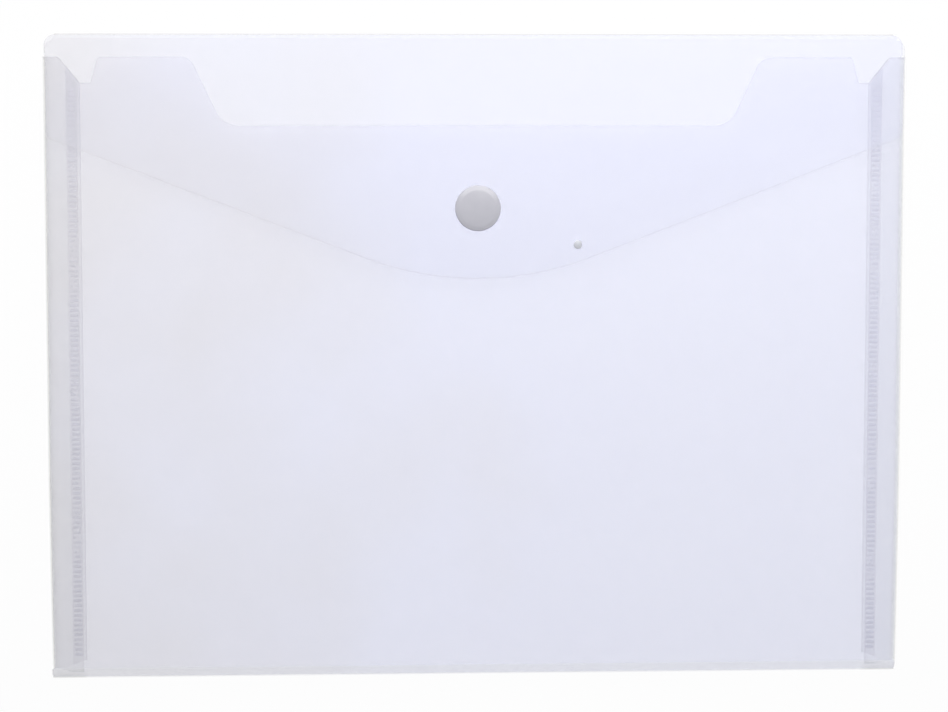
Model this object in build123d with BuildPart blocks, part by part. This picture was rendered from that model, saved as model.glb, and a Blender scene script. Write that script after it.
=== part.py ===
from build123d import *
import os
from math import asin, atan2, cos, degrees, hypot, radians, sin, tan

# Document wallet for A4 paper, cut and creased from one sheet of translucent polypropylene.
# It lies on its back: X runs across it, Y up to the flap's fold and Z out of its front.
# The sheet is divided at its creases into leaves, so that each fold can turn.
# Both spines lean in a little, as they do on an empty wallet that lies flat.
# All sizes are in millimetres and all angles in degrees.

# Sheet and closed wallet
wallet_width = 330.0
wallet_height = 248.0
sheet_thickness = 0.3
pocket_depth = 5.0
crease_clearance = 0.05
top_spine_run = 2.3
bottom_spine_run = 4.3
fold_corner_radius = 4.0
foot_corner_radius = 1.0

# Flap
flap_side_length = 39.0
flap_slope = 20.9
flap_tip_radius = 122.0
flap_side_radius = 4.0

# Front panel, with a thumb cut-out and two relief notches in its top edge
front_edge_drop = 9.0
thumb_floor_width = 197.0
thumb_depth = 26.0
thumb_lean = 24.5
thumb_floor_radius = 12.0
thumb_lip_radius = 6.0
notch_inset = 7.0
notch_depth = 9.8
notch_floor_width = 4.2
notch_lean = 15.0
notch_lip_radius = 1.5

# Side pleats, each made of two tabs that are folded in and welded face to face
front_tab_width = 13.8
back_tab_width = 12.5
pleat_web_width = 8.0
pleat_fold_radius = 0.75
front_tab_foot = 0.3
front_tab_foot_slope = 20.5
back_tab_foot = 0.3
tab_end_clearance = 0.2

# Ribbed weld between the two tabs of a pleat
weld_width = 3.8
weld_edge_margin = 0.1
weld_base = 0.1
weld_rib_height = 0.1
weld_rib_width = 1.0
weld_rib_pitch = 1.9
weld_top_margin = 1.0
weld_foot_margin = 1.2

# Press stud: cap and socket on the flap, stud and rivet on the front panel
stud_drop = 66.5
cap_diameter = 17.5
cap_rim_height = 0.9
cap_dome_rise = 1.0
cap_rim_radius = 0.5
post_diameter = 3.6
hole_clearance = 0.1
rivet_head_spread = 0.7
rivet_head_height = 0.3
socket_diameter = 11.5
socket_height = 2.0
socket_web = 0.5
socket_lip = 0.4
socket_lip_taper = 0.2
stud_base_thickness = 0.6
stud_neck_diameter = 5.9
stud_head_height = 0.3
snap_clearance = 0.1
snap_undercut = 0.1
rivet_disc_diameter = 13.0
rivet_disc_thickness = 0.65

# Small pip pressed through the flap beside the press stud
pip_offset = 38.4
pip_edge_margin = 6.8
pip_diameter = 3.3
pip_rim_height = 0.25
pip_dome_rise = 0.3
pip_shank_diameter = 1.8
pip_tail_diameter = 2.8
pip_tail_height = 0.4

# Places that follow from the sizes above
side_x = wallet_width / 2
top_y = wallet_height / 2
bottom_y = -wallet_height / 2
crease_radius = sheet_thickness / 2
back_z = 0.0
front_z = back_z + sheet_thickness + pocket_depth
front_face_z = front_z + sheet_thickness
flap_gap = stud_base_thickness + snap_clearance + socket_height
flap_z = front_face_z + flap_gap
flap_face_z = flap_z + sheet_thickness
pleat_mid_z = (back_z + front_face_z) / 2
front_top_y = top_y - front_edge_drop
fold_x = side_x - pleat_fold_radius
stud_y = top_y - stud_drop
flap_side_y = top_y - flap_side_length
flap_apex_y = flap_side_y - side_x * tan(radians(flap_slope))
pip_y = flap_apex_y + pip_offset * tan(radians(flap_slope)) + pip_edge_margin
post_radius = post_diameter / 2
post_hole_radius = post_radius + hole_clearance
rivet_head_radius = post_radius + rivet_head_spread
pip_hole_radius = pip_shank_diameter / 2 + hole_clearance

# Crease lines, as (Y, Z) points on the middle of the sheet
back_top_crease = (top_y - crease_radius, back_z + crease_radius)
flap_crease = (top_y - crease_radius - top_spine_run, flap_z + crease_radius)
back_foot_crease = (bottom_y + crease_radius, back_z + crease_radius)
front_crease = (bottom_y + crease_radius + bottom_spine_run, front_z + crease_radius)

os.makedirs("parts", exist_ok=True)


def save(piece, name):
    """Label a finished piece and write it to a STEP file of the same name."""
    piece.part.label = name
    export_step(piece.part, f"parts/{name}.step")


def midpoint(start, end):
    """Give the point halfway between two points of a plane."""
    return ((start[0] + end[0]) / 2, (start[1] + end[1]) / 2)


def edge_setback(lean):
    """Give the distance from a crease line to the edge of a leaf that its spine leans over.

    The leaf's near corner stays clear of the spine's face by the crease clearance.
    """
    return (crease_radius + crease_clearance + crease_radius * sin(lean)) / cos(lean)


def dome(rim_radius, rim_z, rise):
    """Draw the arc of a shallow dome, from its rim to its top on the turning axis."""
    sphere_radius = (rim_radius**2 + rise**2) / (2 * rise)
    return RadiusArc((rim_radius, rim_z), (0, rim_z + rise), -sphere_radius)


# Back panel: the leaf that the wallet lies on, set in along its sides where the tabs fold over
top_spine_lean = atan2(top_spine_run, flap_z - back_z)
bottom_spine_lean = atan2(bottom_spine_run, front_z - back_z)
back_top_y = back_top_crease[0] - edge_setback(top_spine_lean)
back_low_y = back_foot_crease[0] + edge_setback(bottom_spine_lean)
weld_thickness = weld_base + weld_rib_height
land_depth = pleat_mid_z - back_z - weld_thickness / 2
spine_at_land_y = back_foot_crease[0] + (land_depth - crease_radius) * tan(bottom_spine_lean)
back_tab_low_y = spine_at_land_y + crease_radius / cos(bottom_spine_lean) + back_tab_foot
recess_low_y = back_tab_low_y - tab_end_clearance
recess_high_y = front_top_y + tab_end_clearance
recess_mid_y = (recess_low_y + recess_high_y) / 2
recess_x = side_x - pleat_fold_radius / 2
with BuildPart() as back_panel:
    with BuildSketch(Plane.XY.offset(back_z)) as back_outline:
        with Locations((0, (back_top_y + back_low_y) / 2)):
            Rectangle(wallet_width, back_top_y - back_low_y)
        fillet(back_outline.vertices().group_by(Axis.Y)[-1], fold_corner_radius)
        fillet(back_outline.vertices().group_by(Axis.Y)[0], foot_corner_radius)
        with Locations((-recess_x, recess_mid_y), (recess_x, recess_mid_y)):
            Rectangle(pleat_fold_radius, recess_high_y - recess_low_y, mode=Mode.SUBTRACT)
    extrude(amount=sheet_thickness)
save(back_panel, "back_panel")

# Front panel: thumb cut-out in the middle of its top edge, a relief notch beside each pleat
thumb_top_width = thumb_floor_width + 2 * thumb_depth * tan(radians(thumb_lean))
notch_floor_x = side_x - front_tab_width
notch_inner_x = notch_floor_x - notch_floor_width
notch_lean_width = notch_depth * tan(radians(notch_lean))
front_low_y = front_crease[0] + crease_radius + crease_clearance
front_tab_low_y = front_low_y + front_tab_foot
with BuildPart() as front_panel:
    with BuildSketch(Plane.XY.offset(front_z)) as front_outline:
        with Locations((0, (front_top_y + front_low_y) / 2)):
            Rectangle(2 * fold_x, front_top_y - front_low_y)
        with BuildLine():
            Polyline(
                (-thumb_top_width / 2, front_top_y),
                (-thumb_floor_width / 2, front_top_y - thumb_depth),
                (thumb_floor_width / 2, front_top_y - thumb_depth),
                (thumb_top_width / 2, front_top_y),
                close=True,
            )
        make_face(mode=Mode.SUBTRACT)
        for side in (-1, 1):
            with BuildLine():
                Polyline(
                    (side * (side_x - notch_inset), front_top_y),
                    (side * notch_floor_x, front_top_y - notch_depth),
                    (side * notch_inner_x, front_top_y - notch_depth),
                    (side * (notch_inner_x - notch_lean_width), front_top_y),
                    close=True,
                )
            make_face(mode=Mode.SUBTRACT)
        thumb_floor_y = front_top_y - thumb_depth
        fillet(
            front_outline.vertices().filter_by_position(Axis.Y, thumb_floor_y, thumb_floor_y),
            thumb_floor_radius,
        )
        fillet(
            front_outline.vertices().group_by(Axis.Y)[-1].sort_by(Axis.X)[3:5], thumb_lip_radius
        )
        top_corners = front_outline.vertices().group_by(Axis.Y)[-1].sort_by(Axis.X)
        fillet(top_corners[1:3] + top_corners[-3:-1], notch_lip_radius)
    extrude(amount=sheet_thickness)
    with Locations((0, stud_y, front_z)):
        Hole(post_hole_radius)
save(front_panel, "front_panel")

# Flap: straight sides, then two edges that slope to a widely rounded tip
flap_top_y = flap_crease[0] - crease_radius - crease_clearance
with BuildPart() as flap:
    with BuildSketch(Plane.XY.offset(flap_z)) as flap_outline:
        with BuildLine():
            Polyline(
                (-side_x, flap_top_y),
                (-side_x, flap_side_y),
                (0, flap_apex_y),
                (side_x, flap_side_y),
                (side_x, flap_top_y),
                close=True,
            )
        make_face()
        fillet(flap_outline.vertices().group_by(Axis.Y)[-1], fold_corner_radius)
        fillet(flap_outline.vertices().group_by(Axis.Y)[1], flap_side_radius)
        fillet(flap_outline.vertices().group_by(Axis.Y)[0], flap_tip_radius)
    extrude(amount=sheet_thickness)
    with Locations((0, stud_y, flap_z)):
        Hole(post_hole_radius)
    with Locations((pip_offset, pip_y, flap_z)):
        Hole(pip_hole_radius)
save(flap, "flap")

# Top spine: the narrow leaf between back panel and flap, rounded on both crease lines
with BuildPart() as top_spine:
    with BuildSketch(Plane.YZ):
        SlotCenterPoint(midpoint(back_top_crease, flap_crease), flap_crease, sheet_thickness)
    extrude(amount=side_x - fold_corner_radius, both=True)
save(top_spine, "top_spine")

# Bottom spine: the narrow leaf between back and front panels, rounded on both crease lines
with BuildPart() as bottom_spine:
    with BuildSketch(Plane.YZ):
        SlotCenterPoint(midpoint(back_foot_crease, front_crease), front_crease, sheet_thickness)
    extrude(amount=side_x - foot_corner_radius, both=True)
save(bottom_spine, "bottom_spine")

# Side pleats: a tab from each panel turns through its fold, leans in along the web and
# ends in a flat land, where the ribbed weld joins it to the tab of the other panel
web_x = side_x - pleat_web_width
web_run = fold_x - web_x
web_rise = land_depth - pleat_fold_radius
web_lean = degrees(atan2(web_rise, web_run) - asin(pleat_fold_radius / hypot(web_run, web_rise)))
weld_x = side_x - back_tab_width + weld_edge_margin + weld_width / 2
front_foot_rise = (front_tab_width - notch_inset) * tan(radians(front_tab_foot_slope))
weld_low_y = front_tab_low_y + front_foot_rise + weld_foot_margin
weld_high_y = front_top_y - notch_depth - weld_top_margin
weld_low_z = pleat_mid_z - weld_thickness / 2
weld_rib_count = int((weld_high_y - weld_low_y) // weld_rib_pitch)

# Comb outline of the weld, seen from the side: a thin base with a row of square ribs on it
comb_points = [(weld_low_y, weld_low_z)]
for rib in range(weld_rib_count):
    rib_y = weld_low_y + rib * weld_rib_pitch
    comb_points += [
        (rib_y, weld_low_z + weld_thickness),
        (rib_y + weld_rib_width, weld_low_z + weld_thickness),
        (rib_y + weld_rib_width, weld_low_z + weld_base),
        (rib_y + weld_rib_pitch, weld_low_z + weld_base),
    ]
comb_points += [(weld_low_y + weld_rib_count * weld_rib_pitch, weld_low_z)]

for side, hand in ((-1, "left"), (1, "right")):
    for panel, tab_width, facing, panel_face_z in (
        ("back", back_tab_width, 1, back_z),
        ("front", front_tab_width, -1, front_face_z),
    ):
        if panel == "front":
            foot_inner_y = front_tab_low_y + front_foot_rise
            foot_outer_y = front_tab_low_y
        else:
            foot_inner_y = back_tab_low_y
            foot_outer_y = back_tab_low_y
        section_plane = Plane(
            origin=(0, 0, panel_face_z), x_dir=(side, 0, 0), z_dir=(0, -side * facing, 0)
        )
        with BuildPart() as tab:
            with BuildSketch(section_plane):
                with BuildLine():
                    fold = JernArc((fold_x, 0), (1, 0), pleat_fold_radius, 180 - web_lean)
                    web = Line(fold @ 1, (web_x, land_depth))
                    Line(web @ 1, (side_x - tab_width, land_depth))
                    offset(amount=sheet_thickness, side=Side.LEFT)
                make_face()
            extrude(amount=wallet_height, both=True)
            with BuildSketch(Plane.XY.offset(back_z)):
                with BuildLine():
                    Polyline(
                        (side * (side_x - notch_inset), foot_outer_y),
                        (side * side_x, foot_outer_y),
                        (side * side_x, front_top_y),
                        (side * (side_x - notch_inset), front_top_y),
                        (side * notch_floor_x, front_top_y - notch_depth),
                        (side * notch_floor_x, foot_inner_y),
                        close=True,
                    )
                make_face()
            extrude(amount=front_face_z, mode=Mode.INTERSECT)
        save(tab, f"{hand}_{panel}_tab")

    with BuildPart() as weld:
        with BuildSketch(Plane.YZ.offset(side * weld_x)):
            with BuildLine():
                Polyline(*comb_points, close=True)
            make_face()
        extrude(amount=weld_width / 2, both=True)
    save(weld, f"{hand}_weld")

# Press stud, cap: domed disc on the flap, whose post is riveted over inside the socket
stud_axis = Axis((0, stud_y, 0), (0, 0, 1))
stud_plane = Plane(origin=(0, stud_y, 0), x_dir=(1, 0, 0), z_dir=(0, -1, 0))
socket_low_z = flap_z - socket_height
socket_web_z = flap_z - socket_web
cap_radius = cap_diameter / 2
cap_rim_z = flap_face_z + cap_rim_height
with BuildPart() as snap_cap:
    with BuildSketch(stud_plane) as cap_profile:
        with BuildLine():
            crown = dome(cap_radius, cap_rim_z, cap_dome_rise)
            Polyline(
                crown @ 1,
                (0, socket_web_z - rivet_head_height),
                (rivet_head_radius, socket_web_z - rivet_head_height),
                (rivet_head_radius, socket_web_z),
                (post_radius, socket_web_z),
                (post_radius, flap_face_z),
                (cap_radius, flap_face_z),
                crown @ 0,
            )
        make_face()
        fillet(cap_profile.vertices().group_by(Axis.X)[-1].sort_by(Axis.Y)[-1], cap_rim_radius)
    revolve(axis=stud_axis)
save(snap_cap, "snap_cap")

# Press stud, socket: ring under the flap, whose lip springs over the head of the stud
stud_neck_radius = stud_neck_diameter / 2
throat_radius = stud_neck_radius + snap_clearance
stud_head_radius = throat_radius + snap_undercut
cavity_radius = stud_head_radius + snap_clearance
lip_top_z = socket_low_z + socket_lip
with BuildPart() as snap_socket:
    with BuildSketch(stud_plane):
        with BuildLine():
            Polyline(
                (post_hole_radius, flap_z),
                (socket_diameter / 2, flap_z),
                (socket_diameter / 2, socket_low_z),
                (throat_radius, socket_low_z),
                (throat_radius, lip_top_z),
                (cavity_radius, lip_top_z + socket_lip_taper),
                (cavity_radius, socket_web_z),
                (post_hole_radius, socket_web_z),
                close=True,
            )
        make_face()
    revolve(axis=stud_axis)
save(snap_socket, "snap_socket")

# Press stud, stud: flange on the front panel with a necked head that the socket grips
stud_base_z = front_face_z + stud_base_thickness
head_low_z = lip_top_z + socket_lip_taper + snap_clearance
head_high_z = head_low_z + stud_head_height
stud_seat_z = head_high_z - rivet_head_height
with BuildPart() as snap_stud:
    with BuildSketch(stud_plane):
        with BuildLine():
            Polyline(
                (post_hole_radius, front_face_z),
                (socket_diameter / 2, front_face_z),
                (socket_diameter / 2, stud_base_z),
                (stud_neck_radius, stud_base_z),
                (stud_neck_radius, lip_top_z),
                (stud_head_radius, head_low_z),
                (stud_head_radius, head_high_z),
                (rivet_head_radius + hole_clearance, head_high_z),
                (rivet_head_radius + hole_clearance, stud_seat_z),
                (post_hole_radius, stud_seat_z),
                close=True,
            )
        make_face()
    revolve(axis=stud_axis)
save(snap_stud, "snap_stud")

# Press stud, rivet: disc inside the pocket, whose post passes the panel and holds the stud
with BuildPart() as snap_rivet:
    with BuildSketch(stud_plane):
        with BuildLine():
            Polyline(
                (0, front_z - rivet_disc_thickness),
                (rivet_disc_diameter / 2, front_z - rivet_disc_thickness),
                (rivet_disc_diameter / 2, front_z),
                (post_radius, front_z),
                (post_radius, stud_seat_z),
                (rivet_head_radius, stud_seat_z),
                (rivet_head_radius, head_high_z),
                (0, head_high_z),
                close=True,
            )
        make_face()
    revolve(axis=stud_axis)
save(snap_rivet, "snap_rivet")

# Pip: small moulded rivet through the flap, with a domed head outside and a flat tail inside
pip_radius = pip_diameter / 2
pip_axis = Axis((pip_offset, pip_y, 0), (0, 0, 1))
pip_plane = Plane(origin=(pip_offset, pip_y, 0), x_dir=(1, 0, 0), z_dir=(0, -1, 0))
with BuildPart() as flap_pip:
    with BuildSketch(pip_plane):
        with BuildLine():
            pip_crown = dome(pip_radius, flap_face_z + pip_rim_height, pip_dome_rise)
            Polyline(
                pip_crown @ 1,
                (0, flap_z - pip_tail_height),
                (pip_tail_diameter / 2, flap_z - pip_tail_height),
                (pip_tail_diameter / 2, flap_z),
                (pip_shank_diameter / 2, flap_z),
                (pip_shank_diameter / 2, flap_face_z),
                (pip_radius, flap_face_z),
                pip_crown @ 0,
            )
        make_face()
    revolve(axis=pip_axis)
save(flap_pip, "flap_pip")
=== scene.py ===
from math import atan2, asin, cos, hypot, pi, radians, sin, tan

import bpy
import numpy as np
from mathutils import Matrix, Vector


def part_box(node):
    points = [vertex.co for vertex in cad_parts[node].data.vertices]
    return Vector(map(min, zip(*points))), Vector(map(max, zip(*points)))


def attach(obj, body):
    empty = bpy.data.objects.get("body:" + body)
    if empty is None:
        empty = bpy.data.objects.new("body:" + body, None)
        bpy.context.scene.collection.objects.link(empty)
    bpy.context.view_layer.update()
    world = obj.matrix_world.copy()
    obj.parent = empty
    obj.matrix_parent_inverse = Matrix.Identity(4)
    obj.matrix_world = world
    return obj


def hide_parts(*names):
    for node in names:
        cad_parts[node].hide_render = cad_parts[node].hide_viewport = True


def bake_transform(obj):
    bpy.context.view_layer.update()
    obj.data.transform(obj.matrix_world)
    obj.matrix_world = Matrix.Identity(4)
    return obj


# Document wallet, lying on its back: X runs across it, Y up to the flap's fold, Z out of its front.
# The sections follow the wallet as it is folded up, welded and studded; lengths are in metres.
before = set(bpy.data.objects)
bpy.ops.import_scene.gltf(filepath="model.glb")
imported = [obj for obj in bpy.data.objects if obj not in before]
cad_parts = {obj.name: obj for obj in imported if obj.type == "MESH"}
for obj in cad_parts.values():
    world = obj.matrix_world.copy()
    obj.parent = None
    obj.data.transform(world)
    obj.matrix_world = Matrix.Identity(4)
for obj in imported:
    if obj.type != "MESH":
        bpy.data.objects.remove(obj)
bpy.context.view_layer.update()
mm = 0.001

# Back panel.
# The leaf that the wallet lies on, a part of one die-cut sheet of frosted polypropylene.
# Its sides are set in where the tabs of the pleats fold up, and its top corners are rounded.
back_low, back_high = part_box("back_panel")
sheet_thickness = back_high.z - back_low.z
half_sheet = sheet_thickness / 2
side_x = back_high.x
fold_corner_radius = 4.0 * mm
foot_corner_radius = 1.0 * mm
pleat_fold_radius = 0.75 * mm
pleat_draw = 0.8 * mm
pleat_draw_start = -40.0 * mm
pleat_draw_power = 1.5
column_step = 4.0 * mm
row_step = 4.0 * mm
edge_steps = np.array([0.0, 0.15, 0.35, 0.6, 1.0, 1.6]) * mm
cut_edge_width = 0.45 * mm
sheet_blue = (0.765, 0.782, 0.925, 1.0)
# The rose is darkened for the clouds and also for the painted shade on the left side.
sheet_rose_and_shade = (0.725, 0.715, 0.765, 1.0)
crease_grey = (0.57, 0.58, 0.52, 1.0)
pressed_grey = (0.52, 0.515, 0.575, 1.0)
sheet_alpha = 0.235
sheet_spread = 0.6
sheet_roughness = 0.36
cloud_size = 90.0 * mm
cloud_tint = 1.6
cloud_cover = 0.03
# Painted shade: the sheet turns darker and rosier and covers more towards the left, as if less lit
# there.
side_shade_tint = 5.5
side_shade_cover = 0.08
# Painted light: the share of a film's cover that marked leaves lose, so that they look lighter.
thin_share = 0.55
cut_edge_tint = 0.3
mark_cover = 0.1
grain_size = 0.5 * mm
grain_detail = 3.0
grain_roughness = 0.14
grain_depth = 0.03 * mm
grain_bump = 0.05
plastic_ior = 1.49


def eased_path(points, radii, steps=10):
    """Give a line through the points with an arc at each inner corner.

    The arc starts and ends at radius times the tangent of half the turn from its corner, and
    its points are the two end rays from its centre, weighted by the sines of the angles left.
    """
    points = np.asarray(points, float)
    path = [points[:1]]
    for before, corner, after, radius in zip(points, points[1:], points[2:], radii):
        back = (before - corner) / np.linalg.norm(before - corner)
        ahead = (after - corner) / np.linalg.norm(after - corner)
        turn = pi - np.arccos(np.clip(back @ ahead, -1, 1))
        setback = radius * tan(turn / 2)
        middle = (back + ahead) / np.linalg.norm(back + ahead)
        centre = corner + middle * radius / cos(turn / 2)
        share = np.linspace(0, 1, steps)[:, None] * turn
        first = corner + back * setback - centre
        last = corner + ahead * setback - centre
        path.append(centre + (np.sin(turn - share) * first + np.sin(share) * last) / sin(turn))
    path.append(points[-1:])
    return np.concatenate(path)


def columns_of(*paths):
    """Give the X places of a leaf's columns: those of its edge lines, and even steps between."""
    places = [path[:, 0] for path in paths]
    low = min(place.min() for place in places)
    high = max(place.max() for place in places)
    even = np.linspace(low, high, int((high - low) / column_step) + 1)
    return np.unique(np.round(np.concatenate([*places, even]), 7))


def rows_of(low, high, inner=None):
    """Give the Y places of a leaf's rows for each column.

    Near both edges the rows keep fixed distances from the edge; between them they are spread
    evenly, or stand where inner says.
    """
    near = edge_steps[:, None]
    first = low + edge_steps[-1]
    last = high - edge_steps[-1]
    if inner is None:
        count = int(np.max(last - first) / row_step) + 1
        inner = first + (last - first) * np.linspace(0, 1, count)[1:-1, None]
    return np.concatenate([low + near, inner + 0 * low, high - near[::-1]])


def edge_mark(distance):
    """Give 1 on a cut edge, falling to 0 within the width of the line that a cut edge shows."""
    return np.exp(-((distance / cut_edge_width) ** 2))


def slope_distance(gap, columns, edge):
    """Give the distance to a sloping edge: the gap along Y times the cosine of the slope."""
    return gap / np.hypot(1, np.gradient(edge, columns))


def sheet_mesh(middle, half=half_sheet):
    """Give the points, faces and smooth flags of a closed sheet round a grid of middle points.

    Each side is the grid moved half the thickness along its normal, which is the cross product
    of the steps across and along. A ring of wall faces joins the two sides along their edges.
    """
    across = np.gradient(middle, axis=1)
    along = np.gradient(middle, axis=0)
    normal = np.cross(across, along)
    normal *= np.asarray(half)[..., None] / np.linalg.norm(normal, axis=2, keepdims=True)
    points = np.concatenate([(middle + normal).reshape(-1, 3), (middle - normal).reshape(-1, 3)])
    rows, columns = middle.shape[:2]
    index = np.arange(rows * columns).reshape(rows, columns)
    corners = [index[:-1, :-1], index[:-1, 1:], index[1:, 1:], index[1:, :-1]]
    upper = np.stack(corners, axis=-1).reshape(-1, 4)
    lower = upper[:, ::-1] + rows * columns
    ring = np.concatenate([index[0, :-1], index[:-1, -1], index[-1, :0:-1], index[:0:-1, 0]])
    after = np.roll(ring, -1)
    wall = np.stack([ring + rows * columns, after + rows * columns, after, ring], axis=-1)
    smooth = np.repeat([True, True, False], [len(upper), len(lower), len(wall)])
    return points, np.concatenate([upper, lower, wall]), smooth


def add_piece(name, points, faces, smooth, finish, **marks):
    """Make an object of a mesh, with its finish and a value on each point for each named mark."""
    mesh = bpy.data.meshes.new(name)
    mesh.from_pydata(points.tolist(), [], [list(face) for face in faces])
    mesh.polygons.foreach_set("use_smooth", smooth)
    for mark, values in marks.items():
        attribute = mesh.attributes.new(mark, "FLOAT", "POINT")
        attribute.data.foreach_set("value", np.float32(values).ravel())
    mesh.materials.append(finish)
    mesh.update()
    piece = bpy.data.objects.new(name, mesh)
    bpy.context.scene.collection.objects.link(piece)
    return piece


def add_sheet(name, middle, finish, half=half_sheet, **marks):
    """Make a closed sheet round a grid of middle points, with the same marks on both sides."""
    points, faces, smooth = sheet_mesh(middle, half)
    both = {}
    for mark, values in marks.items():
        both[mark] = np.tile(np.broadcast_to(values, middle.shape[:2]).ravel(), 2)
    return add_piece(name, points, faces, smooth, finish, **both)


class Wire:
    """A socket in a material's nodes. Sums, differences and products add Math nodes."""

    def __init__(self, tree, socket=None):
        self.tree = tree
        self.socket = socket

    def node(self, kind, settings, inputs, output=0):
        """Add a node of any kind: its settings first, then a value or a wire for each input."""
        made = self.tree.nodes.new("ShaderNode" + kind)
        for name, value in settings.items():
            setattr(made, name, value)
        for key, value in inputs.items():
            if isinstance(value, Wire):
                self.tree.links.new(value.socket, made.inputs[key])
            else:
                made.inputs[key].default_value = value
        return Wire(self.tree, made.outputs[output])

    def feed(self, node, key):
        """Link this socket to an input of a node that is already there."""
        self.tree.links.new(self.socket, node.inputs[key])

    def maths(self, operation, first, second):
        return self.node("Math", {"operation": operation}, {0: first, 1: second})

    def __add__(self, other):
        return self.maths("ADD", self, other)

    def __sub__(self, other):
        return self.maths("SUBTRACT", self, other)

    def __rsub__(self, other):
        return self.maths("SUBTRACT", other, self)

    def __mul__(self, other):
        return self.maths("MULTIPLY", self, other)

    __radd__ = __add__
    __rmul__ = __mul__


def new_finish(name):
    """Start a material: give it, its Principled shader and a wire of Object coordinates."""
    material = bpy.data.materials.new(name)
    material.use_nodes = True
    tree = material.node_tree
    shader = tree.nodes["Principled BSDF"]
    return material, shader, Wire(tree).node("TexCoord", {}, {}, "Object")


def noise(place, size, detail=2.0):
    """Add a noise of the given feature size, in metres, with values about one half."""
    return place.node("TexNoise", {}, {"Vector": place, "Scale": 1 / size, "Detail": detail})


def mixed(factor, first, second):
    """Mix two colours by a factor wire."""
    return factor.node("Mix", {"data_type": "RGBA"}, {0: factor, 6: first, 7: second}, 2)


def mark_of(place, mark):
    """Read the value that a mark has on the piece's points."""
    return place.node("Attribute", {"attribute_name": mark}, {}, "Fac")


def lamp_share(place):
    """Give the share of a film's cover that counts: less than 1 for a lamp's ray, and 1 for the rest."""
    lamp_ray = place.node("LightPath", {}, {}, "Is Shadow Ray")
    return 1 - lamp_ray * sheet_spread


def grain_bumps(place, grain, strength, depth):
    """Turn a grain into fine bumps of the given strength and depth."""
    return place.node("Bump", {}, {"Strength": strength, "Distance": depth, "Height": grain})


def sheet_finish():
    """Frosted polypropylene: milky and bluish, with faint clouds and a fine grain.

    Its tint and cover drift from side to side: painted shade, darker and rosier and covering more
    towards the left, as if less lit there. Cut edges, creases and pressed places are greyer and
    cover more. Some leaves carry a mark that lowers their cover: painted light, which makes the
    spines, the pleats and the flap lighter than their own lighting does. It spreads most of the
    light that it stops, so to a lamp's ray it covers less than to the eye.
    """
    material, shader, place = new_finish("frosted_sheet")
    cut_edge = mark_of(place, "cut_edge")
    crease = mark_of(place, "crease")
    thin = mark_of(place, "thin")
    pressed = mark_of(place, "pressed")
    across = place.node("SeparateXYZ", {}, {0: place}, "X")
    cloud = noise(place, cloud_size) - 0.5
    grain = noise(place, grain_size, grain_detail)
    # Painted shade: the tint turns darker and rosier towards the left.
    tint = mixed(cloud * cloud_tint - across * side_shade_tint, sheet_blue, sheet_rose_and_shade)
    tint = mixed(crease + cut_edge * cut_edge_tint, tint, crease_grey)
    mixed(pressed, tint, pressed_grey).feed(shader, "Base Color")
    (sheet_roughness + grain * grain_roughness).feed(shader, "Roughness")
    # Painted shade and light: the cover rises towards the left, and falls on leaves that carry the mark
    # that lowers it.
    film = (sheet_alpha + cloud * cloud_cover - across * side_shade_cover) * (1 - thin * thin_share)
    cover = film + cut_edge * mark_cover + crease * mark_cover + pressed * mark_cover
    (cover * lamp_share(place)).feed(shader, "Alpha")
    grain_bumps(place, grain, grain_bump, grain_depth).feed(shader, "Normal")
    shader.inputs["IOR"].default_value = plastic_ior
    return material


def drawn_in(y):
    """Give how far a pleat's fold is drawn in at Y: 0 down to the start, and all of it at the foot.

    Between them it grows with the way down to the power of one and a half.
    """
    way = np.clip((pleat_draw_start - y) / (pleat_draw_start - back_low.y), 0, 1)
    return pleat_draw * way**pleat_draw_power


def near_side(columns):
    """Give 1 on the wallet's sides, falling to 0 in a straight line within the recess's reach."""
    return np.clip((np.abs(columns) - side_x + recess_reach) / recess_reach, 0, 1)


frosted_sheet = sheet_finish()
recess_ramp = 0.5 * mm
recess_foot_gap = 1.1 * mm
recess_reach = 10.0 * mm
recess_row_count = 60
back_edge_mark = 0.5
tab_low, tab_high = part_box("left_back_tab")
recess_low_y = tab_low.y + recess_foot_gap
recess_high_y = tab_high.y + recess_ramp
back_top = eased_path(
    [
        (-side_x, back_high.y - 2 * fold_corner_radius),
        (-side_x, back_high.y),
        (side_x, back_high.y),
        (side_x, back_high.y - 2 * fold_corner_radius),
    ],
    [fold_corner_radius, fold_corner_radius],
)[1:-1]
back_foot = eased_path(
    [
        (-side_x, back_low.y + 2 * foot_corner_radius),
        (-side_x, back_low.y),
        (side_x, back_low.y),
        (side_x, back_low.y + 2 * foot_corner_radius),
    ],
    [foot_corner_radius, foot_corner_radius],
)[1:-1]
back_columns = columns_of(back_top, back_foot)
back_high_y = np.interp(back_columns, *back_top.T)
back_low_y = np.interp(back_columns, *back_foot.T)
recess_rows = np.linspace(recess_low_y + recess_ramp, recess_high_y - recess_ramp, recess_row_count)
recess_ends = [[recess_low_y - recess_ramp], recess_rows, [recess_high_y + recess_ramp]]
back_y = rows_of(back_low_y, back_high_y, np.concatenate(recess_ends)[:, None])
in_recess = (back_y > recess_low_y) & (back_y < recess_high_y)
set_in = near_side(back_columns) * in_recess * (pleat_fold_radius + drawn_in(back_y))
back_x = back_columns - np.sign(back_columns) * set_in
back_grid = np.stack([back_x, back_y, np.full_like(back_y, back_low.z + half_sheet)], axis=-1)
back_free_side = np.where(in_recess, side_x, side_x - np.abs(back_x))
back_cut = edge_mark(back_free_side) * back_edge_mark
back_piece = add_sheet("back_leaf", back_grid, frosted_sheet, cut_edge=back_cut)
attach(back_piece, "pocket")
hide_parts("back_panel")

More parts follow.
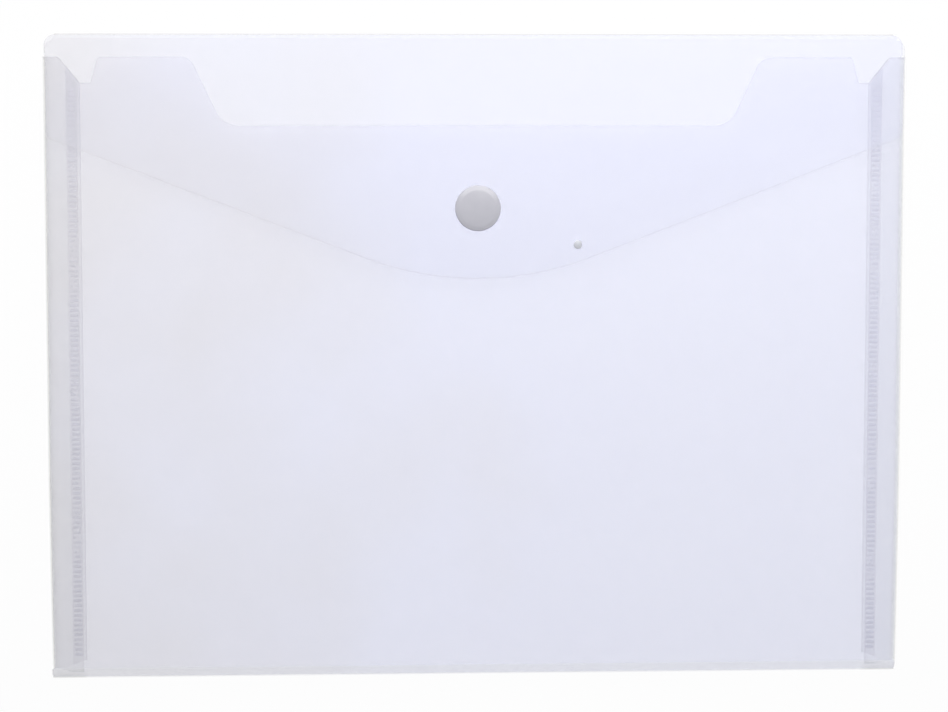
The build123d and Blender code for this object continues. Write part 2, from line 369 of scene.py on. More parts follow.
# Bottom spine.
# The narrow leaf between the back and front panels, leaning in on an empty wallet.
# It is the same sheet, bent round a pressed crease line along each of its long edges.
foot_low, foot_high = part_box("bottom_spine")
front_low, front_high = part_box("front_panel")
front_mid_z = (front_low.z + front_high.z) / 2
spine_step = 1.5 * mm
crease_bend_radius = 0.17 * mm
crease_mark_width = 0.7 * mm
foot_end_gap = 0.1 * mm
foot_half_length = side_x - foot_end_gap
foot_end_lean = 0.7 * mm
foot_end_round = 0.9 * mm
foot_end_reach = 13.4 * mm
foot_end_ramp = 1.5 * mm
foot_end_height = 3.8 * mm
foot_end_mark = 0.7
foot_crease_mark = 0.05
# Painted light: the bottom spine covers less, so its shaded face looks as light as the panels.
foot_thin = 1.1


def spine_grid(section, half_length):
    """Carry a section line of (Y, Z) points along X: one row of the grid for each point.

    Every row runs as far to both sides as its half length says, which is one for all or one each.
    """
    share = np.linspace(-1, 1, int(2 * np.max(half_length) / spine_step) + 1)
    grid = np.empty((len(section), len(share), 3))
    grid[..., 0] = np.reshape(half_length, (-1, 1)) * share
    grid[..., 1:] = section[:, None]
    return grid


def bend_overhang(run, rise):
    """Give how far a bend's corner stands past the bend's outermost point, from the spine's lean.

    From the bend's end on the level leaf, the corner is the radius times the tangent of half the
    turn away, and the outermost point is one radius away.
    """
    turn = pi - atan2(rise, run)
    return crease_bend_radius * (tan(turn / 2) - 1)


def crease_mark(section, creases):
    """Give 1 on the crease lines of a section, falling to 0 within the width of a pressed crease."""
    gaps = [np.linalg.norm(section - crease, axis=1) for crease in creases]
    return np.exp(-((np.min(gaps, axis=0) / crease_mark_width) ** 2))[:, None]


front_crease = np.array([foot_high.y - half_sheet, foot_high.z - half_sheet])
back_foot_crease = np.array([foot_low.y + half_sheet, foot_low.z + half_sheet])
back_foot_crease[0] -= bend_overhang(*(front_crease - back_foot_crease))
foot_section = eased_path(
    [(back_low.y, back_foot_crease[1]), back_foot_crease, front_crease, (front_low.y, front_crease[1])],
    [crease_bend_radius, crease_bend_radius],
)[::-1]
foot_share = np.clip((foot_section[:, 0] - foot_low.y) / foot_end_round, 0, 1)
foot_half = foot_half_length - foot_end_round * (1 - np.sqrt(foot_share * (2 - foot_share)))
foot_half -= foot_end_lean * (foot_section[:, 1] - foot_low.z) / (foot_high.z - foot_low.z)
foot_grid = spine_grid(foot_section, foot_half)
foot_crease = crease_mark(foot_section, [back_foot_crease, front_crease])
# Painted shade: its low ends are greyer, where the feet of the pleats stand close behind them.
foot_end = np.clip((np.abs(foot_grid[..., 0]) - side_x + foot_end_reach) / foot_end_ramp, 0, 1)
foot_end *= np.clip((foot_end_height - foot_grid[..., 2]) / foot_end_ramp, 0, 1)
foot_piece = add_sheet(
    "bottom_spine_leaf",
    foot_grid,
    frosted_sheet,
    cut_edge=0,
    crease=np.maximum(foot_crease * foot_crease_mark, foot_end * foot_end_mark),
    thin=foot_thin,
)
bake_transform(foot_piece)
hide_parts("bottom_spine")

# Side pleats.
# On each side a tab of the back panel and a wider tab of the front panel fold inwards.
# Their edges meet halfway up as two flat lands, so that the pocket can open like a bellows.
front_tab_width = 13.8 * mm
back_tab_width = 12.5 * mm
pleat_web_width = 8.0 * mm
notch_inset = 5.8 * mm
notch_depth = 9.8 * mm
front_foot_slope = radians(20.5)
front_foot_reach = 0.3 * mm
back_fold_rise = 1.9 * mm
land_ease_radius = 12.0 * mm
tab_step = 0.8 * mm
fold_steps = 16
pleat_mark = 0.7
# Painted light: the pleats lose nearly all their film cover, so the stacked tabs look lighter.
pleat_thin = 1.8
fold_mark = 0.2
fold_mark_width = 1.2 * mm
tab_edge_mark = 0.5
tab_foot_mark = 0.2
notch_mark = 0.6
notch_mark_width = 0.9 * mm
land_mark_ramp = 0.7 * mm
land_top_start = 70.0 * mm
land_top_gain = 2.2
back_land_press = 0.3
front_land_press = 0.65
pleat_height = front_high.z
fold_mid_radius = pleat_fold_radius - half_sheet
fold_x = side_x - pleat_fold_radius
fold_centre = (fold_x, pleat_fold_radius)
tab_top_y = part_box("left_front_tab")[1].y


def tab_section(tab_width, land_mid_z):
    """Give the (X, Z) line of a right-hand tab that starts level with its panel at Z zero.

    It turns round the fold as an arc, runs straight up the web and levels out along the land.
    """
    web_run = fold_x - (side_x - pleat_web_width)
    web_rise = land_mid_z + half_sheet - pleat_fold_radius
    lean = atan2(web_rise, web_run) - asin(pleat_fold_radius / hypot(web_run, web_rise))
    turn = np.linspace(-pi / 2, pi / 2 - lean, fold_steps)
    fold = np.stack([np.cos(turn), np.sin(turn)], axis=-1) * fold_mid_radius + fold_centre
    corner_x = fold[-1, 0] - (land_mid_z - fold[-1, 1]) / tan(lean)
    inner_edge = (side_x - tab_width, land_mid_z)
    land = eased_path([fold[-1], (corner_x, land_mid_z), inner_edge], [land_ease_radius])
    return np.concatenate([fold[:-1], land])


def refined(section, step):
    """Add even points along a line, so that no step of it is longer than the one given."""
    run = np.concatenate([[0], np.cumsum(np.hypot(*np.diff(section, axis=0).T))])
    even = np.linspace(0, run[-1], int(run[-1] / step) + 1)
    places = np.unique(np.round(np.concatenate([run, even]), 7))
    return np.stack([np.interp(places, run, axis) for axis in section.T], axis=-1)


def tab_piece(hand, side, panel, tab_width, land_press, foot_slope=0, foot_reach=0, fold_rise=0):
    """Make one tab: its section carried along Y between its foot and its sloping top edge.

    The foot slopes up past the notch, reaches below the node's foot and rises at the fold, each as
    far as it is told. The land is pressed grey, and more so towards its top.
    """
    node = f"{hand}_{panel}_tab"
    low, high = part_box(node)
    land_mid_z = high.z - low.z - half_sheet
    section = refined(tab_section(tab_width, land_mid_z), tab_step)
    inset = side_x - section[:, 0]
    past_notch = np.maximum(inset - notch_inset, 0)
    top_y = tab_top_y - past_notch * notch_depth / (front_tab_width - notch_inset)
    near_fold = np.clip(1 - inset / pleat_web_width, 0, 1)
    foot_y = low.y - foot_reach + past_notch * tan(foot_slope) + near_fold * fold_rise
    y = rows_of(foot_y, top_y)
    flip = 1 if panel == "back" else -1
    z = section[:, 1] if panel == "back" else pleat_height - section[:, 1]
    x = side * (section[:, 0] - near_fold * drawn_in(y))
    grid = np.stack([x, y, np.broadcast_to(z, y.shape)], axis=-1)
    to_fold = np.hypot(*(section - fold_centre).T)
    on_fold = np.exp(-((to_fold / fold_mark_width) ** 2))
    on_land = np.clip((inset - pleat_web_width) / land_mark_ramp, 0, 1)
    to_top = slope_distance(top_y - y, inset, top_y)
    to_foot = slope_distance(y - foot_y, inset, foot_y)
    to_inner = inset[-1] - inset
    cut = np.maximum(edge_mark(np.minimum(to_top, to_inner)), edge_mark(to_foot) * tab_foot_mark)
    near_top = np.clip((y - land_top_start) / (tab_top_y - land_top_start), 0, 1)
    on_notch = np.exp(-((to_top / notch_mark_width) ** 2))
    land = land_press * (1 + land_top_gain * near_top) * on_land
    pressed = np.maximum(land, notch_mark * on_notch)
    if side * flip > 0:
        grid, cut, on_fold, pressed = grid[:, ::-1], cut[:, ::-1], on_fold[::-1], pressed[:, ::-1]
    piece = add_sheet(
        f"{hand}_{panel}_pleat",
        grid,
        frosted_sheet,
        cut_edge=cut * tab_edge_mark,
        crease=pleat_mark + fold_mark * on_fold,
        thin=pleat_thin,
        pressed=pressed,
    )
    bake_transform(piece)
    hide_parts(node)


for hand, side in (("left", -1), ("right", 1)):
    tab_piece(hand, side, "back", back_tab_width, back_land_press, fold_rise=back_fold_rise)
    tab_piece(
        hand,
        side,
        "front",
        front_tab_width,
        front_land_press,
        foot_slope=front_foot_slope,
        foot_reach=front_foot_reach,
    )

# Ribbed welds.
# An ultrasonic horn with a knurled face melts the two lands of each pleat together.
# It leaves a narrow band of short ribs across the weld, with painted shade: grey bars along them,
# stronger in some places than in others.
weld_rib_pitch = 1.9 * mm
weld_rib_height = 0.1 * mm
weld_points_per_rib = 12
weld_edge_round = 0.25 * mm
weld_columns = 25
weld_bar_gain = 3.0
weld_bar_start = 0.6
weld_bar_margin = 0.15 * mm
weld_bar_ramp = 0.25 * mm
weld_bar_cover = 0.46
weld_web_cover = 0.03
weld_patch_size = 9.0 * mm
weld_patch_detail = 3.0
weld_rag_size = 1.1 * mm
weld_rag_share = 0.6
weld_foot_gain = 1.6
weld_grey_range = (0.6, 1.0)
weld_grey_least = 0.15
weld_fade_range = (0.84, 0.92)
weld_fade_least = 0.3
weld_roughness = 0.25
weld_patch_roughness = 0.2
weld_grey = (0.66, 0.65, 0.725, 1.0)
weld_pale = (0.76, 0.75, 0.80, 1.0)


def risen(value, limits, least):
    """Give the least below the lower limit, 1 above the upper one, and a straight rise between."""
    return value.node("MapRange", {}, {0: value, 1: limits[0], 2: limits[1], 3: least, 4: 1.0})


def weld_finish():
    """Melted and pressed polypropylene. Painted shade: grey bars along the ribs, ragged and uneven,
    darker towards the foot.
    """
    material, shader, place = new_finish("weld_with_rib_shade")
    bar = mark_of(place, "bar")
    up = place.node("SeparateXYZ", {}, {0: place}, "Y")
    patch = noise(place, weld_patch_size, weld_patch_detail)
    ragged = noise(place, weld_rag_size)
    # Painted shade: the bars turn greyer towards the foot and in ragged patches, and fade in others.
    depth = patch + ragged * weld_rag_share - up * weld_foot_gain
    grey = risen(depth, weld_grey_range, weld_grey_least)
    bar_fade = risen(patch + ragged, weld_fade_range, weld_fade_least)
    mixed(grey, weld_pale, weld_grey).feed(shader, "Base Color")
    cover = weld_web_cover + bar * bar_fade * weld_bar_cover
    (cover * lamp_share(place)).feed(shader, "Alpha")
    (weld_roughness + patch * weld_patch_roughness).feed(shader, "Roughness")
    shader.inputs["IOR"].default_value = plastic_ior
    return material


weld_with_rib_shade = weld_finish()
for hand in ("left", "right"):
    weld_low, weld_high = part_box(f"{hand}_weld")
    weld_ribs = round((weld_high.y - weld_low.y) / weld_rib_pitch)
    weld_y = np.linspace(weld_low.y, weld_high.y, weld_ribs * weld_points_per_rib + 1)[:, None]
    weld_x = np.linspace(weld_low.x, weld_high.x, weld_columns)
    wave = 0.5 - 0.5 * np.cos(2 * pi * (weld_y - weld_low.y) / weld_rib_pitch)
    to_side = np.minimum(weld_x - weld_low.x, weld_high.x - weld_x)
    inside = np.clip(to_side / weld_edge_round, 0, 1)
    rib = wave * np.sqrt(inside * (2 - inside))
    # Painted shade: a bar along each rib.
    bar = np.clip(wave * weld_bar_gain - weld_bar_start, 0, 1)
    bar = bar * np.clip((to_side - weld_bar_margin) / weld_bar_ramp, 0, 1)
    weld_top = weld_high.z - weld_rib_height * (1 - rib)
    weld_grid = np.stack(np.broadcast_arrays(weld_x, weld_y, (weld_top + weld_low.z) / 2), axis=-1)
    weld_half = (weld_top - weld_low.z) / 2
    weld = add_sheet(f"{hand}_weld_band", weld_grid, weld_with_rib_shade, weld_half, bar=bar)
    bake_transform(weld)
    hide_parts(f"{hand}_weld")

# Front panel.
# The leaf in front of the pocket, with a wide thumb cut-out and a relief notch beside each pleat.
# Held by the pleats, the crease and the press stud, it sags a little towards the back between them.
thumb_floor_width = 194.2 * mm
thumb_depth = 26.0 * mm
thumb_lean = radians(25.3)
thumb_floor_radius = 9.0 * mm
thumb_lip_radius = 6.0 * mm
notch_floor_width = 4.2 * mm
notch_lean = radians(15.0)
notch_lip_radius = 1.8 * mm
notch_floor_radius = 0.4 * mm
front_sag = 0.9 * mm
front_ripple = 0.22 * mm
front_held_reach = 60.0 * mm
front_edge_mark = 0.7
ripple_waves = ((31.0, 47.0, 0.6), (19.0, -36.0, 2.1), (90.0, 25.0, 4.0))
stud_low, stud_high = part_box("snap_stud")
stud_x = (stud_low.x + stud_high.x) / 2
stud_y = (stud_low.y + stud_high.y) / 2
stud_hold = 28.0 * mm


def free_of_stud(x, y):
    """Give 0 at the press stud, rising to 1 a few centimetres away as one less a bell curve."""
    return 1 - np.exp(-((x - stud_x) ** 2 + (y - stud_y) ** 2) / stud_hold**2)


def ripple(x, y):
    """Give a slow uneven wave between about -1 and 1, the mean of three crossing sine waves.

    Each wave has a length across and up, in millimetres for one radian, and a starting angle.
    """
    waves = [np.sin(x / (run * mm) + y / (rise * mm) + start) for run, rise, start in ripple_waves]
    return sum(waves) / len(waves)


def front_height(x, y):
    """Middle of the front panel: a shallow sag and a ripple, both 0 on its held edges."""
    held = (1 - (x / fold_x) ** 2) * np.clip((y - front_low.y) / front_held_reach, 0, 1)
    return front_mid_z + held * free_of_stud(x, y) * (ripple(x, y) * front_ripple - front_sag)


thumb_floor_y = front_high.y - thumb_depth
notch_floor_y = front_high.y - notch_depth
notch_outer_x = side_x - front_tab_width
notch_inner_x = notch_outer_x - notch_floor_width
right_edge = [
    (thumb_floor_width / 2, thumb_floor_y),
    (thumb_floor_width / 2 + thumb_depth * tan(thumb_lean), front_high.y),
    (notch_inner_x - notch_depth * tan(notch_lean), front_high.y),
    (notch_inner_x, notch_floor_y),
    (notch_outer_x, notch_floor_y),
    (side_x - notch_inset, front_high.y),
    (fold_x, front_high.y),
]
right_radii = [
    thumb_floor_radius,
    thumb_lip_radius,
    notch_lip_radius,
    notch_floor_radius,
    notch_floor_radius,
    notch_lip_radius,
]
left_edge = [(-x, y) for x, y in right_edge[::-1]]
front_top = eased_path(left_edge + right_edge, right_radii[::-1] + right_radii)
front_columns = columns_of(front_top)
front_top_y = np.interp(front_columns, *front_top.T)
front_y = rows_of(np.full_like(front_columns, front_low.y), front_top_y)
front_x = front_columns - np.sign(front_columns) * near_side(front_columns) * drawn_in(front_y)
front_grid = np.stack([front_x, front_y, front_height(front_x, front_y)], axis=-1)
front_cut = edge_mark(slope_distance(front_top_y - front_y, front_columns, front_top_y))
front_piece = add_sheet("front_leaf", front_grid, frosted_sheet, cut_edge=front_cut * front_edge_mark)
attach(front_piece, "front")
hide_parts("front_panel")

# Top spine.
# The narrow leaf of the same sheet between the back panel and the flap, leaning in under the flap.
# Its lower crease turns on the back panel and its upper crease carries the flap.
top_low, top_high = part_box("top_spine")
flap_low, flap_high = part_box("flap")
flap_mid_z = (flap_low.z + flap_high.z) / 2
flap_crease_reach = 0.7 * mm
spine_fine_step = 0.6 * mm
# Painted light: the top spine and the flap crease cover less, so they look lighter.
spine_thin = 1.0
flap_crease = np.array([top_low.y + half_sheet, top_high.z - half_sheet])
back_top_crease = np.array([top_high.y - half_sheet, top_low.z + half_sheet])
spine_run = back_top_crease[0] - flap_crease[0]
spine_rise = flap_crease[1] - back_top_crease[1]
back_top_crease[0] += bend_overhang(spine_run, spine_rise)
top_rise = (flap_crease - back_top_crease) / np.linalg.norm(flap_crease - back_top_crease)
spine_end = flap_crease - top_rise * flap_crease_reach
spine_line = [(back_high.y, back_top_crease[1]), back_top_crease, spine_end]
spine_section = refined(eased_path(spine_line, [crease_bend_radius]), spine_fine_step)
spine_piece = add_sheet(
    "top_spine_leaf",
    spine_grid(spine_section, top_high.x),
    frosted_sheet,
    cut_edge=0,
    crease=crease_mark(spine_section, [back_top_crease]),
    thin=spine_thin,
)
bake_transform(spine_piece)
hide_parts("top_spine")

# Flap crease.
# The pressed line where the top spine turns over into the flap, a narrow strip of the same sheet.
# It runs from the end of the top spine round the crease into the flap.
flap_crease_mark = 0.1
bend_line = [spine_end, flap_crease, (flap_high.y, flap_crease[1])]
bend_section = eased_path(bend_line, [crease_bend_radius])
bend_piece = add_sheet(
    "flap_crease",
    spine_grid(bend_section, top_high.x),
    frosted_sheet,
    cut_edge=0,
    crease=crease_mark(bend_section, [flap_crease]) * flap_crease_mark,
    thin=spine_thin,
)
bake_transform(bend_piece)

# Flap.
# The leaf of the sheet that folds over the mouth, cut with short straight sides and two edges that
# slope to a rounded tip. The press stud holds its middle, and its corners and tip droop a little.
flap_side_gap = 0.9 * mm
flap_half_width = side_x - flap_side_gap
flap_side_length = 39.34 * mm
flap_slope = radians(20.9)
flap_tip_radius = 122.0 * mm
flap_side_radius = 4.0 * mm
flap_level_reach = 45.0 * mm
flap_corner_droop = 2.4 * mm
flap_tip_droop = 0.5 * mm
flap_ripple = 0.18 * mm
flap_ripple_shift = 40.0 * mm
flap_arc_steps = 24
flap_mark = 0.1
# Painted light: the flap covers less, which stands in for the light that it catches.
flap_thin = 0.9
pip_low, pip_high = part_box("flap_pip")
pip_x = (pip_low.x + pip_high.x) / 2
pip_y = (pip_low.y + pip_high.y) / 2
pip_hold = 10.0 * mm
flap_side_y = top_high.y - flap_side_length
flap_apex_y = flap_side_y - flap_half_width * tan(flap_slope)


def free_of_pip(x, y):
    """Give 0 at the pip, rising to 1 about two centimetres away as one less a bell curve."""
    return 1 - np.exp(-((x - pip_x) ** 2 + (y - pip_y) ** 2) / pip_hold**2)


def flap_height(x, y):
    """Middle of the flap: level round the stud and the pip, and lower towards its corners and tip.

    It falls in a straight line from the crease down each side, where it rests on the pocket, and
    with the square of the way out to that side and of the way down to the tip.
    """
    down = np.clip((flap_high.y - y) / (flap_high.y - flap_side_y), 0, 1)
    out = np.clip((np.abs(x) - flap_level_reach) / (side_x - flap_level_reach), 0, 1)
    corner = out**2 * down * flap_corner_droop
    tip = np.clip((stud_y - y) / (stud_y - flap_low.y), 0, 1) ** 2 * flap_tip_droop
    wave = ripple(x + flap_ripple_shift, y) * flap_ripple * down * free_of_pip(x, y)
    return flap_mid_z - free_of_stud(x, y) * (corner + tip - wave)


flap_top = eased_path(
    [
        (-flap_half_width, flap_high.y - 2 * fold_corner_radius),
        (-flap_half_width, flap_high.y),
        (flap_half_width, flap_high.y),
        (flap_half_width, flap_high.y - 2 * fold_corner_radius),
    ],
    [fold_corner_radius, fold_corner_radius],
)[1:-1]
flap_foot = eased_path(
    [
        (-flap_half_width, flap_high.y),
        (-flap_half_width, flap_side_y),
        (0, flap_apex_y),
        (flap_half_width, flap_side_y),
        (flap_half_width, flap_high.y),
    ],
    [flap_side_radius, flap_tip_radius, flap_side_radius],
    flap_arc_steps,
)[1:-1]
flap_columns = columns_of(flap_top, flap_foot)
flap_top_y = np.interp(flap_columns, *flap_top.T)
flap_foot_y = np.interp(flap_columns, *flap_foot.T)
flap_y = rows_of(flap_foot_y, flap_top_y)
flap_x = np.broadcast_to(flap_columns, flap_y.shape)
flap_grid = np.stack([flap_x, flap_y, flap_height(flap_x, flap_y)], axis=-1)
flap_to_foot = slope_distance(flap_y - flap_foot_y, flap_columns, flap_foot_y)
flap_to_cut = np.minimum(flap_to_foot, flap_half_width - np.abs(flap_x))
flap_piece = add_sheet(
    "flap_leaf",
    flap_grid,
    frosted_sheet,
    cut_edge=edge_mark(flap_to_cut),
    crease=flap_mark,
    thin=flap_thin,
)
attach(flap_piece, "flap")
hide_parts("flap")

# Press stud.
# Four round mouldings of satin grey plastic: a domed cap riveted to a socket ring through the
# flap, and a necked stud riveted through the front panel to a flat disc inside the pocket.
turn_steps = 96
dome_steps = 24
dome_share = 0.85
corner_ease = 0.12 * mm
stud_grey = (0.485, 0.48, 0.53, 1.0)
stud_pale = (0.545, 0.54, 0.585, 1.0)
stud_cloud_size = 5.0 * mm
stud_cloud_detail = 3.0
stud_grain_size = 0.25 * mm
stud_grain_bump = 0.1
stud_grain_depth = 0.02 * mm
stud_roughness = 0.2
stud_grain_roughness = 0.1


def stud_finish(name, darker, paler):
    """Satin moulded plastic: an even grey with faint flow clouds and a fine spark-eroded grain."""
    material, shader, place = new_finish(name)
    cloud = noise(place, stud_cloud_size, stud_cloud_detail)
    grain = noise(place, stud_grain_size)
    mixed(cloud, darker, paler).feed(shader, "Base Color")
    (stud_roughness + grain * stud_grain_roughness).feed(shader, "Roughness")
    grain_bumps(place, grain, stud_grain_bump, stud_grain_depth).feed(shader, "Normal")
    shader.inputs["IOR"].default_value = plastic_ior
    return material


satin_grey = stud_finish("satin_grey", stud_grey, stud_pale)


def turned_mesh(profile, centre, ring):
    """Give the points and faces of a profile of (radius, Z) points turned about a line along Z.

    A ring's profile is a closed line off the axis. Any other profile starts and ends on the axis,
    and a fan of triangles closes it there.
    """
    angle = np.linspace(0, 2 * pi, turn_steps, endpoint=False)
    body = profile if ring else profile[1:-1]
    around = np.stack([np.cos(angle), np.sin(angle)], axis=-1)
    points = np.empty((len(body), turn_steps, 3))
    points[..., :2] = body[:, None, :1] * around + centre
    points[..., 2] = body[:, 1:]
    index = np.arange(points.size // 3).reshape(len(body), turn_steps)
    below = np.roll(index, -1, axis=0) if ring else index[1:]
    upper = index if ring else index[:-1]
    loop = [upper, below, np.roll(below, -1, axis=1), np.roll(upper, -1, axis=1)]
    faces = np.stack(loop, axis=-1).reshape(-1, 4).tolist()
    points = points.reshape(-1, 3)
    if not ring:
        poles = [(*centre, profile[0, 1]), (*centre, profile[-1, 1])]
        first, last = len(points), len(points) + 1
        points = np.concatenate([points, poles])
        first_fan = [np.full(turn_steps, first), index[0], np.roll(index[0], -1)]
        last_fan = [np.full(turn_steps, last), np.roll(index[-1], -1), index[-1]]
        faces += np.stack(first_fan, axis=-1).tolist() + np.stack(last_fan, axis=-1).tolist()
    return points, faces


def add_turned(name, node, body, profile, ring=False, finish=satin_grey):
    """Make a turned piece of moulded plastic on the node's own axis, in the node's place.

    The soft light reaches round these small pieces, so they throw no shadow on the sheet.
    """
    low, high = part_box(node)
    centre = np.array([(low.x + high.x) / 2, (low.y + high.y) / 2])
    points, faces = turned_mesh(profile, centre, ring)
    piece = add_piece(name, points, faces, np.full(len(faces), True), finish)
    piece.visible_shadow = False
    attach(piece, body)
    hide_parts(node)


def dome(radius, rim_z, top_z, count):
    """Give a dome's line from its top out to a share of its radius: a circle through top and rim."""
    rise = top_z - rim_z
    sphere = (radius**2 + rise**2) / (2 * rise)
    r = np.linspace(0, dome_share * radius, count)
    return np.stack([r, top_z - sphere + np.sqrt(sphere**2 - r**2)], axis=-1)


post_radius = 1.8 * mm
head_radius = 2.5 * mm
head_height = 0.3 * mm
cap_low, cap_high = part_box("snap_cap")
cap_radius = (cap_high.x - cap_low.x) / 2
cap_rim_height = 0.9 * mm
cap_rim_ease = 0.5 * mm
cap_face_radius = 6.9 * mm
cap_face_rise = 0.5 * mm
cap_face_ease = 3.5 * mm
cap_corner_steps = 8
cap_face_z = cap_high.z - cap_face_rise
cap_crown = dome(cap_face_radius, cap_face_z, cap_high.z, dome_steps)
cap_side = eased_path(
    [
        cap_crown[-1],
        (cap_face_radius, cap_face_z),
        (cap_radius, flap_high.z + cap_rim_height),
        (cap_radius, flap_high.z),
        (post_radius, flap_high.z),
        (post_radius, cap_low.z + head_height),
        (head_radius, cap_low.z + head_height),
        (head_radius, cap_low.z),
        (0, cap_low.z),
    ],
    [cap_face_ease, cap_rim_ease] + [corner_ease] * 5,
    cap_corner_steps,
)
add_turned("cap", "snap_cap", "flap", np.concatenate([cap_crown[:-1], cap_side]))

socket_low, socket_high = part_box("snap_socket")
socket_radius = (socket_high.x - socket_low.x) / 2
socket_throat = 3.05 * mm
socket_cavity = 3.25 * mm
socket_lip = 0.4 * mm
socket_taper = 0.2 * mm
socket_web = 0.5 * mm
socket_seam_radius = 4.0 * mm
ring_corner_steps = 5
hole_clearance = 0.1 * mm
post_hole_radius = post_radius + hole_clearance
socket_loop = [
    (socket_seam_radius, socket_high.z),
    (socket_radius, socket_high.z),
    (socket_radius, socket_low.z),
    (socket_throat, socket_low.z),
    (socket_throat, socket_low.z + socket_lip),
    (socket_cavity, socket_low.z + socket_lip + socket_taper),
    (socket_cavity, socket_high.z - socket_web),
    (post_hole_radius, socket_high.z - socket_web),
    (post_hole_radius, socket_high.z),
    (socket_seam_radius, socket_high.z),
]
socket_profile = eased_path(socket_loop, [corner_ease / 2] * 8, ring_corner_steps)[:-1]
add_turned("socket", "snap_socket", "flap", socket_profile, ring=True)

stud_radius = (stud_high.x - stud_low.x) / 2
stud_base = 0.6 * mm
stud_neck = 2.95 * mm
stud_head = 3.15 * mm
stud_seam_radius = 2.9 * mm
head_low_z = socket_low.z + socket_lip + socket_taper + hole_clearance
seat_z = stud_high.z - head_height
seat_radius = head_radius + hole_clearance
stud_loop = [
    (stud_seam_radius, stud_high.z),
    (stud_head, stud_high.z),
    (stud_head, head_low_z),
    (stud_neck, socket_low.z + socket_lip),
    (stud_neck, stud_low.z + stud_base),
    (stud_radius, stud_low.z + stud_base),
    (stud_radius, stud_low.z),
    (post_hole_radius, stud_low.z),
    (post_hole_radius, seat_z),
    (seat_radius, seat_z),
    (seat_radius, stud_high.z),
    (stud_seam_radius, stud_high.z),
]
stud_profile = eased_path(stud_loop, [corner_ease / 3] * 10, ring_corner_steps)[:-1]
add_turned("stud", "snap_stud", "front", stud_profile, ring=True)

rivet_low, rivet_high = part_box("snap_rivet")
rivet_radius = (rivet_high.x - rivet_low.x) / 2
rivet_corner_steps = 6
rivet_profile = eased_path(
    [
        (0, rivet_high.z),
        (head_radius, rivet_high.z),
        (head_radius, seat_z),
        (post_radius, seat_z),
        (post_radius, front_low.z),
        (rivet_radius, front_low.z),
        (rivet_radius, rivet_low.z),
        (0, rivet_low.z),
    ],
    [corner_ease] * 6,
    rivet_corner_steps,
)
add_turned("rivet", "snap_rivet", "front", rivet_profile)

# Pip.
# A small moulding of pale grey plastic beside the press stud, with a low domed head.
# Its shank is pressed through the flap and spread on the other side.
pip_radius = (pip_high.x - pip_low.x) / 2
pip_rim_height = 0.25 * mm
pip_shank_radius = 0.9 * mm
pip_tail_radius = 1.4 * mm
pip_ease = 0.1 * mm
pip_dome_steps = 10
pip_corner_steps = 6
pip_grey = (0.54, 0.55, 0.60, 1.0)
pip_pale = (0.62, 0.63, 0.67, 1.0)
pip_crown = dome(pip_radius, flap_high.z + pip_rim_height, pip_high.z, pip_dome_steps)
pip_side = eased_path(
    [
        pip_crown[-1],
        (pip_radius, flap_high.z + pip_rim_height),
        (pip_radius, flap_high.z),
        (pip_shank_radius, flap_high.z),
        (pip_shank_radius, flap_low.z),
        (pip_tail_radius, flap_low.z),
        (pip_tail_radius, pip_low.z),
        (0, pip_low.z),
    ],
    [pip_ease] * 6,
    pip_corner_steps,
)
pip_finish = stud_finish("pale_grey", pip_grey, pip_pale)
add_turned("pip", "flap_pip", "flap", np.concatenate([pip_crown[:-1], pip_side]), finish=pip_finish)

# Floor, lamp, sky and camera.
# A plain pale table top that reads as white to the camera but keeps the wallet's shadow.
# One large soft lamp stands beyond the top edge, and a pale sky fills in from all sides.
floor_half = 4.0
floor_gap = 0.1 * mm
floor_white_share = 0.94
floor_colour = (0.92, 0.92, 0.93, 1.0)
floor_roughness = 0.9
plain_white = (1.0, 1.0, 1.0, 1.0)
sky_colour = (0.90, 0.93, 1.0, 1.0)
sky_strength = 0.33
lamp_place = (0.03, 0.57, 0.6)
lamp_size = (1.0, 0.65)
lamp_power = 7.9
lamp_colour = (1.0, 0.99, 0.98)
camera_place = (-0.06749, 0.06223, 1.01628)
camera_turn = (-4.9476, -2.7757, -0.0895)
camera_lens = 100.0
camera_shift = (0.04724, 0.07175)
film_bounces = 32


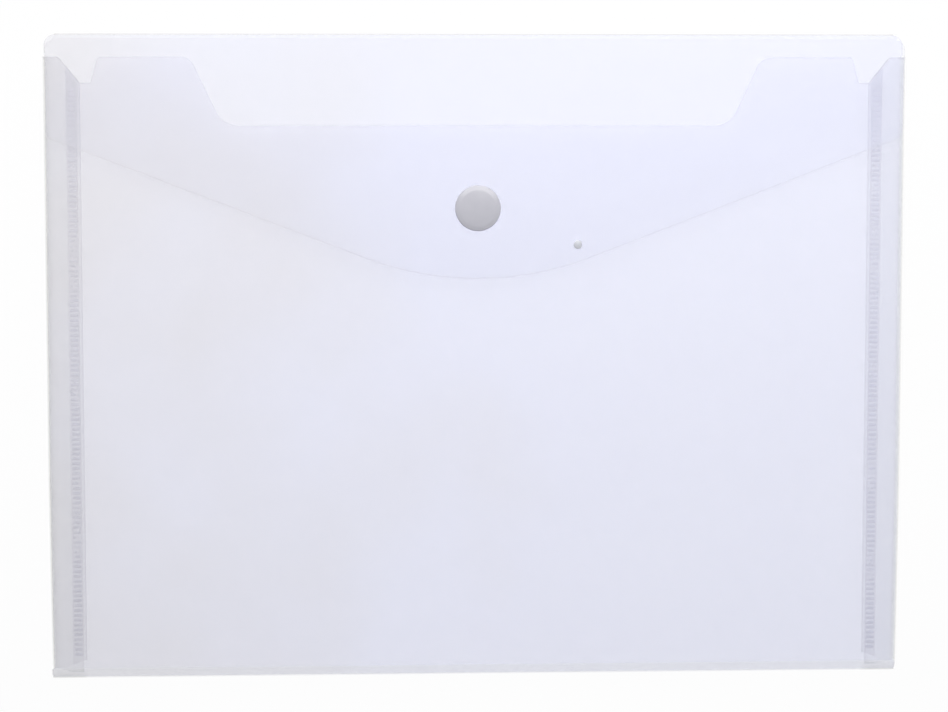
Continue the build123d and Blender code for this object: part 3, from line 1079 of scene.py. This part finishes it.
def seen_white(tree):
    """Give 1 for rays from the camera, from gloss and through clear matter, and 0 for the rest."""
    paths = Wire(tree).node("LightPath", {}, {}, "Is Camera Ray")
    outputs = paths.socket.node.outputs
    glossy = Wire(tree, outputs["Is Glossy Ray"])
    through = Wire(tree, outputs["Is Transmission Ray"])
    return paths.maths("MAXIMUM", paths, glossy.maths("MAXIMUM", glossy, through))


def floor_finish():
    """Pale matt floor: mostly plain white light to the camera, and a matt surface otherwise."""
    material, shader, _ = new_finish("pale_floor")
    tree = material.node_tree
    shader.inputs["Base Color"].default_value = floor_colour
    shader.inputs["Roughness"].default_value = floor_roughness
    shader.inputs["Specular IOR Level"].default_value = 0.0
    white = seen_white(tree)
    glow = white.node("Emission", {}, {"Color": plain_white, "Strength": 1.0})
    matt = Wire(tree, shader.outputs[0])
    both = white.node("MixShader", {}, {0: white * floor_white_share, 1: matt, 2: glow})
    both.feed(tree.nodes["Material Output"], "Surface")
    return material


floor_square = np.array([[-1, -1, 0], [1, -1, 0], [1, 1, 0], [-1, 1, 0]])
floor_corners = floor_square * floor_half - (0, 0, floor_gap)
floor = add_piece("floor", floor_corners, [[0, 1, 2, 3]], [False], floor_finish())

world = bpy.data.worlds.new("sky")
world.use_nodes = True
bpy.context.scene.world = world
sky = world.node_tree.nodes["Background"]
sky_white = seen_white(world.node_tree)
mixed(sky_white, sky_colour, plain_white).feed(sky, "Color")
(sky_strength + sky_white * (1 - sky_strength)).feed(sky, "Strength")

lamp_data = bpy.data.lights.new("key", "AREA")
lamp_data.energy = lamp_power
lamp_data.shape = "RECTANGLE"
lamp_data.size, lamp_data.size_y = lamp_size
lamp_data.color = lamp_colour
lamp = bpy.data.objects.new("key", lamp_data)
lamp.location = lamp_place
lamp.rotation_euler = (-lamp.location).to_track_quat("-Z", "Y").to_euler()
bpy.context.scene.collection.objects.link(lamp)

camera_data = bpy.data.cameras.new("camera")
camera_data.lens = camera_lens
camera_data.shift_x, camera_data.shift_y = camera_shift
camera = bpy.data.objects.new("camera", camera_data)
camera.location = camera_place
camera.rotation_euler = [radians(angle) for angle in camera_turn]
bpy.context.scene.collection.objects.link(camera)
bpy.context.scene.camera = camera
bpy.context.scene.view_settings.view_transform = "Standard"
bpy.context.scene.cycles.transparent_max_bounces = film_bounces
